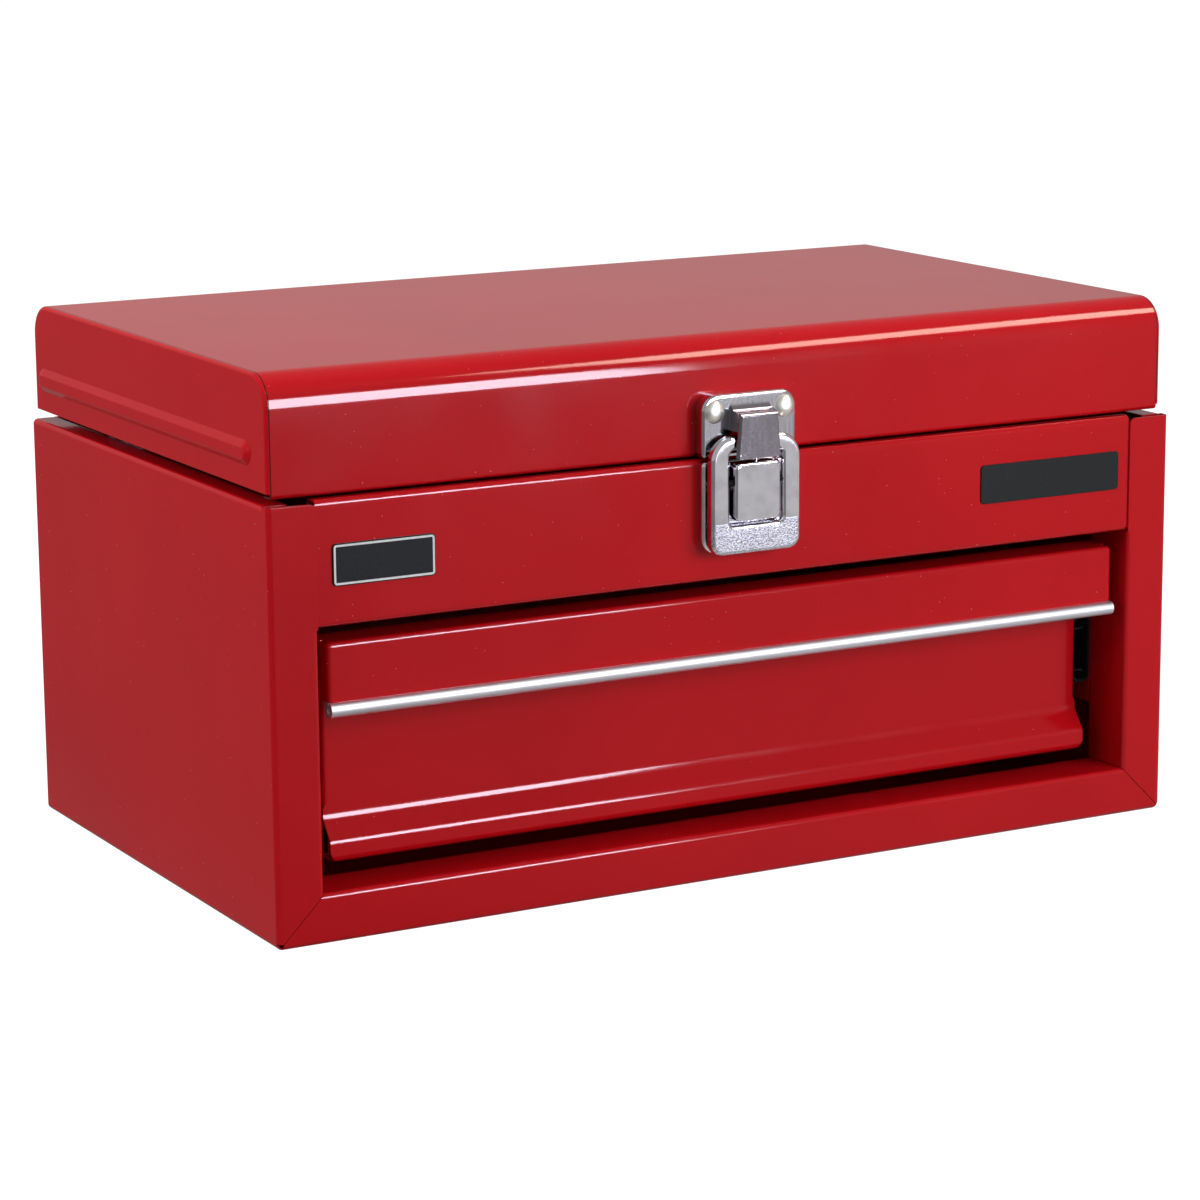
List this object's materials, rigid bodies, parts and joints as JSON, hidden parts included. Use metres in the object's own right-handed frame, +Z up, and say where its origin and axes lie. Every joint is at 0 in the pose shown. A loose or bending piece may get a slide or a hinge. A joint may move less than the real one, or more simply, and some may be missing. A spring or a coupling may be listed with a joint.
{
  "type": "portable tool box with drawer",
  "caption": "Red steel tool box with a hinged lid over a top compartment, a drawer on ball-bearing slides and a chromed spring catch.",
  "frame": {"origin": "centre of the base, on the surface that the box stands on", "axes": "+Z up, the front with the drawer and the catch faces -Y, +X to the right as seen from the front"},
  "size_m": [0.5, 0.3088, 0.2657],
  "materials": {
    "red_enamel": "gloss red enamel",
    "latch_chrome": "bright chrome plate",
    "rivet_nickel": "warm nickel plate",
    "zinc_plate": "bright zinc plate",
    "black_zinc": "black coating on steel",
    "bright_steel": "ground steel",
    "spring_steel": "spring wire",
    "trim_aluminium": "satin anodised"
  },
  "bodies": {
    "case": {"body_shell": "red_enamel", "rear_panel": "red_enamel", "front_panel": "red_enamel", "compartment_floor": "red_enamel", "slide_panel_left": "red_enamel", "slide_panel_right": "red_enamel", "slide_rail_left": "black_zinc", "slide_rail_right": "black_zinc", "hinge_leaf_body": "zinc_plate", "hinge_pin": "bright_steel", "latch_base": "latch_chrome", "latch_block": "latch_chrome", "latch_base_rivets": "rivet_nickel", "latch_pin": "latch_chrome", "stay_body_stud": "zinc_plate"},
    "lid": {"lid_cover": "red_enamel", "lid_end_left": "red_enamel", "lid_end_right": "red_enamel", "hinge_leaf_lid": "zinc_plate", "strike_plate": "latch_chrome", "strike_rivets": "rivet_nickel", "stay_lid_stud": "zinc_plate"},
    "lever": {"latch_lever": "latch_chrome", "latch_spring": "spring_steel"},
    "stay": {"lid_stay": "zinc_plate"},
    "drawer": {"drawer_front": "red_enamel", "drawer_tray": "red_enamel", "drawer_rivets": "zinc_plate", "drawer_trim": "trim_aluminium", "slide_runner_left": "black_zinc", "slide_runner_right": "black_zinc"},
    "ball_cage_left": {"ball_retainer_left": "zinc_plate", "slide_balls_left": "bright_steel"},
    "ball_cage_right": {"ball_retainer_right": "zinc_plate", "slide_balls_right": "bright_steel"}
  },
  "joints": [
    {"name": "lid_hinge", "type": "hinge", "parent": "case", "child": "lid", "pos_m": [0, 0.1465, 0.2095], "axis": [-1, 0, 0], "range_deg": [0, 95]},
    {"name": "stay_swing", "type": "hinge", "parent": "lid", "child": "stay", "pos_m": [0, 0.11299, 0.218], "axis": [1, 0, 0], "range_deg": [0, 47.5]},
    {"name": "latch_lever", "type": "hinge", "parent": "case", "child": "lever", "pos_m": [0, -0.15446, 0.1971], "axis": [-1, 0, 0], "range_deg": [0, 5], "stiffness_Nm_per_rad": 0.25, "springref_deg": -28.65},
    {"name": "drawer_slide", "type": "slide", "parent": "case", "child": "drawer", "axis": [0, -1, 0], "range_m": [0, 0.18]},
    {"name": "ball_cage_left_slide", "type": "slide", "parent": "case", "child": "ball_cage_left", "axis": [0, -1, 0], "range_m": [0, 0.09]},
    {"name": "ball_cage_right_slide", "type": "slide", "parent": "case", "child": "ball_cage_right", "axis": [0, -1, 0], "range_m": [0, 0.09]}
  ],
  "couplings": [
    {"joint": "stay_swing", "follows": "lid_hinge", "ratio": 0.5},
    {"joint": "ball_cage_left_slide", "follows": "drawer_slide", "ratio": 0.5},
    {"joint": "ball_cage_right_slide", "follows": "drawer_slide", "ratio": 0.5}
  ]
}
